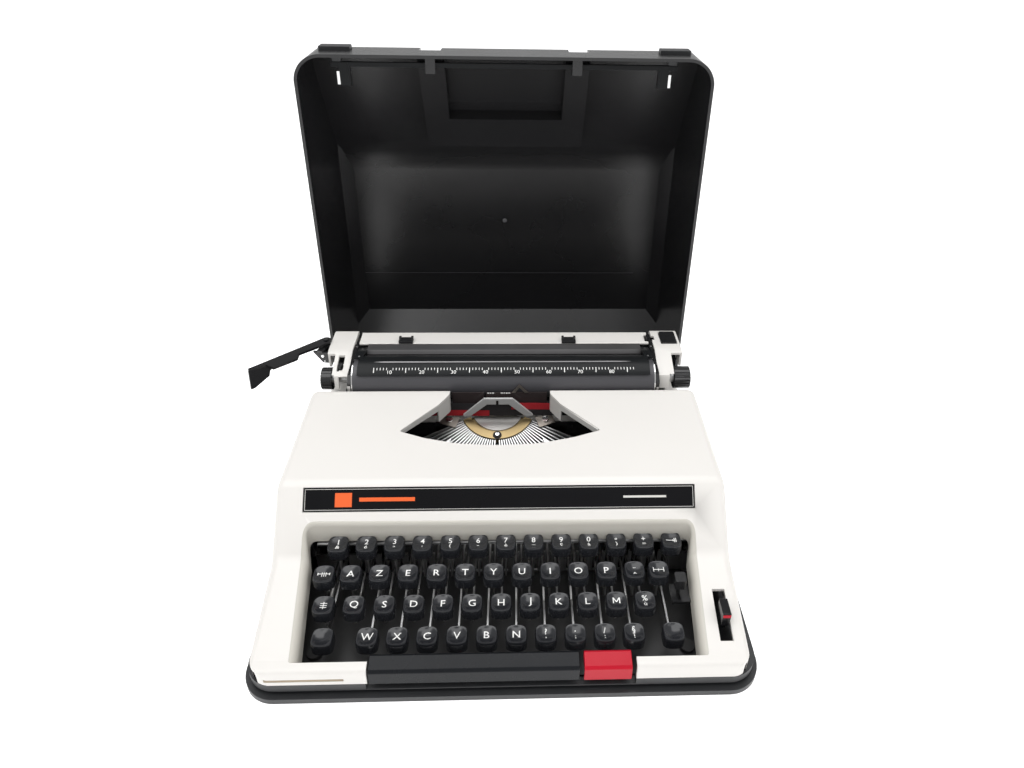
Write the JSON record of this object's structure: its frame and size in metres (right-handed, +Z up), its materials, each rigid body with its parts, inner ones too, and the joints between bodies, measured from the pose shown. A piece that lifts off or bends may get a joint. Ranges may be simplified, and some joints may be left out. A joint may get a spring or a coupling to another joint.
{
  "type": "portable typewriter",
  "caption": "Portable typewriter in its hinged carrying case, lid open, with sliding carriage, folding return lever, ribbon spools and four banks of keys.",
  "frame": {"origin": "centre of the case tray underside, on the surface it stands on", "axes": "+X to the right as the typist sees it, +Y to the rear towards the lid hinge, +Z up"},
  "size_m": [0.3693, 0.4239, 0.3242],
  "materials": {
    "moulded_black": "satin textured black moulding",
    "lid_black": "satin black moulding, glossier inside",
    "rubber_black": "matt",
    "black_paint": "semi-gloss black enamel",
    "dark_steel": "dull plated steel",
    "steel": "plated",
    "cream_shell": "satin warm white",
    "plate_black": "glossy black with a light frame line",
    "key_black": "glossy charcoal caps with white marks on steel levers",
    "key_red": "glossy red",
    "bronze": "dull oxidised",
    "guide_grey": "light grey",
    "ribbon_ink": "inked cloth, red over black",
    "platen_rubber": "smooth dark grey",
    "bell_metal": "bright"
  },
  "bodies": {
    "machine": {"case_tray": "moulded_black", "hinge_pins": "steel", "machine_feet": "rubber_black", "base_plate": "black_paint", "chassis": "dark_steel", "housing": "cream_shell", "name_plate": "plate_black", "key_comb": "steel", "lever_shaft": "steel", "type_segment": "bronze", "segment_plate": "steel", "frame_screws": "steel", "type_guide": "guide_grey", "typebar_set": "steel", "card_holder": "dark_steel", "ribbon": "ribbon_ink", "escapement": "dark_steel", "bell": "bell_metal", "carriage_rails": "steel"},
    "lid": {"lid_shell": "lid_black"},
    "handle": {"lid_handle": "lid_black"},
    "latch": {"latch_bar": "lid_black", "latch_buttons": "moulded_black"},
    "carriage": {"carriage_frame": "dark_steel", "cover_left": "cream_shell", "cover_right": "cream_shell", "rear_strip": "cream_shell", "paper_table": "steel"},
    "platen_roll": {"platen": "platen_rubber", "platen_shaft": "steel", "knob_left": "moulded_black", "knob_right": "moulded_black"},
    "drum": {"mainspring_drum": "dark_steel"},
    "key_row_1": {"key_row_1": "key_black"},
    "key_row_2": {"key_row_2": "key_black"},
    "key_row_3": {"key_row_3": "key_black"},
    "key_row_4": {"key_row_4": "key_black"},
    "type_key": {"type_key": "key_black"},
    "shift_keys": {"shift_keys": "key_black"},
    "shift_lock_key": {"shift_lock_key": "key_black"},
    "margin_release_key": {"margin_release_key": "key_black"},
    "tabulator_key": {"tabulator_key": "key_black"},
    "tab_set_key": {"tab_set_key": "key_black"},
    "space_bar": {"space_bar": "key_black"},
    "tab_key": {"tab_key": "key_red"},
    "color_selector": {"color_selector": "plate_black"},
    "touch_knob": {"touch_knob": "moulded_black"},
    "type_bar": {"type_bar": "steel"},
    "ribbon_spool_left": {"ribbon_spool_left": "plate_black"},
    "ribbon_spool_right": {"ribbon_spool_right": "plate_black"},
    "margin_stop_left": {"margin_stop_left": "plate_black"},
    "margin_stop_right": {"margin_stop_right": "plate_black"},
    "paper_bail": {"paper_bail": "black_paint"},
    "feed_roller_front": {"feed_roller_front": "rubber_black"},
    "feed_roller_rear": {"feed_roller_rear": "rubber_black"},
    "lever_bracket": {"lever_bracket": "dark_steel"},
    "return_lever": {"return_lever": "plate_black"},
    "line_space_lever": {"line_space_lever": "plate_black"},
    "paper_release_lever": {"paper_release_lever": "plate_black"},
    "carriage_release": {"carriage_release": "plate_black"}
  },
  "joints": [
    {"name": "lid_hinge", "type": "hinge", "parent": "machine", "child": "lid", "pos_m": [0, 0.154, 0.01], "axis": [-1, 0, 0], "range_deg": [-92, 0]},
    {"name": "handle_pivot", "type": "hinge", "parent": "lid", "child": "handle", "pos_m": [0, 0.20179, 0.30941], "axis": [1, 0, 0], "range_deg": [0, 95]},
    {"name": "latch_slide", "type": "slide", "parent": "lid", "child": "latch", "axis": [0, -0.0349, -0.9994], "range_m": [0, 0.0022], "stiffness_N_per_m": 300},
    {"name": "carriage_slide", "type": "slide", "parent": "machine", "child": "carriage", "axis": [1, 0, 0], "range_m": [0, 0.09]},
    {"name": "platen_turn", "type": "hinge", "parent": "carriage", "child": "platen_roll", "pos_m": [0, 0.06, 0.088], "axis": [1, 0, 0], "continuous": true},
    {"name": "bail_pivot", "type": "hinge", "parent": "carriage", "child": "paper_bail", "pos_m": [0, 0.084, 0.0976], "axis": [-1, 0, 0], "range_deg": [0, 60]},
    {"name": "feed_roller_front_turn", "type": "hinge", "parent": "carriage", "child": "feed_roller_front", "pos_m": [0, 0.0493, 0.0706], "axis": [1, 0, 0], "continuous": true},
    {"name": "feed_roller_rear_turn", "type": "hinge", "parent": "carriage", "child": "feed_roller_rear", "pos_m": [0, 0.0707, 0.0706], "axis": [1, 0, 0], "continuous": true},
    {"name": "line_feed_swing", "type": "hinge", "parent": "carriage", "child": "lever_bracket", "pos_m": [-0.151, 0.088, 0.102], "axis": [0, 0, 1], "range_deg": [0, 25], "stiffness_Nm_per_rad": 0.02},
    {"name": "lever_fold", "type": "hinge", "parent": "carriage", "child": "return_lever", "pos_m": [-0.151, 0.088, 0.106], "axis": [0, 0, 1], "range_deg": [0, 78.2]},
    {"name": "margin_left_slide", "type": "slide", "parent": "carriage", "child": "margin_stop_left", "axis": [1, 0, 0], "range_m": [0, 0.03]},
    {"name": "margin_right_slide", "type": "slide", "parent": "carriage", "child": "margin_stop_right", "axis": [1, 0, 0], "range_m": [0, 0.03]},
    {"name": "line_space_pivot", "type": "hinge", "parent": "carriage", "child": "line_space_lever", "pos_m": [-0.1349, 0.066, 0.095], "axis": [1, 0, 0], "range_deg": [0, 12]},
    {"name": "paper_release_pivot", "type": "hinge", "parent": "carriage", "child": "paper_release_lever", "pos_m": [0.12, 0.0945, 0.0958], "axis": [-1, 0, 0], "range_deg": [0, 14]},
    {"name": "carriage_release_press", "type": "slide", "parent": "carriage", "child": "carriage_release", "axis": [0, 0, -1], "range_m": [0, 0.0012], "stiffness_N_per_m": 200},
    {"name": "key_row_1_press", "type": "hinge", "parent": "machine", "child": "key_row_1", "pos_m": [0, 0.012, 0.021], "axis": [1, 0, 0], "range_deg": [0, 5.5], "stiffness_Nm_per_rad": 2, "springref_deg": -11.46},
    {"name": "key_row_2_press", "type": "hinge", "parent": "machine", "child": "key_row_2", "pos_m": [0, 0.012, 0.021], "axis": [1, 0, 0], "range_deg": [0, 4.8], "stiffness_Nm_per_rad": 2, "springref_deg": -11.46},
    {"name": "key_row_3_press", "type": "hinge", "parent": "machine", "child": "key_row_3", "pos_m": [0, 0.012, 0.021], "axis": [1, 0, 0], "range_deg": [0, 4.2], "stiffness_Nm_per_rad": 2, "springref_deg": -11.46},
    {"name": "key_row_4_press", "type": "hinge", "parent": "machine", "child": "key_row_4", "pos_m": [0, 0.012, 0.021], "axis": [1, 0, 0], "range_deg": [0, 3], "stiffness_Nm_per_rad": 2, "springref_deg": -11.46},
    {"name": "shift_press", "type": "hinge", "parent": "machine", "child": "shift_keys", "pos_m": [0, 0.012, 0.021], "axis": [1, 0, 0], "range_deg": [0, 3], "stiffness_Nm_per_rad": 1, "springref_deg": -11.46},
    {"name": "shift_lock_press", "type": "hinge", "parent": "machine", "child": "shift_lock_key", "pos_m": [0, 0.012, 0.021], "axis": [1, 0, 0], "range_deg": [0, 2.5], "stiffness_Nm_per_rad": 0.3, "springref_deg": -11.46},
    {"name": "margin_release_press", "type": "hinge", "parent": "machine", "child": "margin_release_key", "pos_m": [0, 0.012, 0.021], "axis": [1, 0, 0], "range_deg": [0, 4.5], "stiffness_Nm_per_rad": 0.3, "springref_deg": -11.46},
    {"name": "tabulator_press", "type": "hinge", "parent": "machine", "child": "tabulator_key", "pos_m": [0, 0.012, 0.021], "axis": [1, 0, 0], "range_deg": [0, 5.5], "stiffness_Nm_per_rad": 0.3, "springref_deg": -11.46},
    {"name": "tab_set_press", "type": "hinge", "parent": "machine", "child": "tab_set_key", "pos_m": [0, 0.012, 0.021], "axis": [1, 0, 0], "range_deg": [0, 4.5], "stiffness_Nm_per_rad": 0.3, "springref_deg": -11.46},
    {"name": "type_bar_swing", "type": "hinge", "parent": "machine", "child": "type_bar", "pos_m": [-0.0074, 0.014, 0.054], "axis": [-1, 0, 0], "range_deg": [0, 127], "stiffness_Nm_per_rad": 0.01, "springref_deg": -28.65},
    {"name": "type_key_press", "type": "hinge", "parent": "machine", "child": "type_key", "pos_m": [0, 0.012, 0.021], "axis": [1, 0, 0], "range_deg": [0, 4.2]},
    {"name": "space_bar_press", "type": "slide", "parent": "machine", "child": "space_bar", "axis": [0, 0, -1], "range_m": [0, 0.0042], "stiffness_N_per_m": 150, "springref_m": -0.003},
    {"name": "tab_key_press", "type": "slide", "parent": "machine", "child": "tab_key", "axis": [0, 0, -1], "range_m": [0, 0.004], "stiffness_N_per_m": 150, "springref_m": -0.002},
    {"name": "color_selector_slide", "type": "slide", "parent": "machine", "child": "color_selector", "axis": [0, 0.9456, 0.3253], "range_m": [0, 0.01]},
    {"name": "touch_knob_slide", "type": "slide", "parent": "machine", "child": "touch_knob", "axis": [0, -1, 0], "range_m": [0, 0.003]},
    {"name": "spool_left_turn", "type": "hinge", "parent": "machine", "child": "ribbon_spool_left", "pos_m": [-0.103, 0, 0.07], "axis": [0, 0, 1], "continuous": true},
    {"name": "spool_right_turn", "type": "hinge", "parent": "machine", "child": "ribbon_spool_right", "pos_m": [0.097, 0, 0.07], "axis": [0, 0, 1], "continuous": true},
    {"name": "drum_turn", "type": "hinge", "parent": "machine", "child": "drum", "pos_m": [-0.095, 0.084, 0.038], "axis": [0, 0, 1], "range_deg": [0, 235]}
  ],
  "couplings": [
    {"joint": "lever_fold", "follows": "lid_hinge", "ratio": -0.85},
    {"joint": "type_key_press", "follows": "type_bar_swing", "ratio": 0.033071},
    {"joint": "drum_turn", "follows": "carriage_slide", "rad_per_m": 45.572}
  ]
}
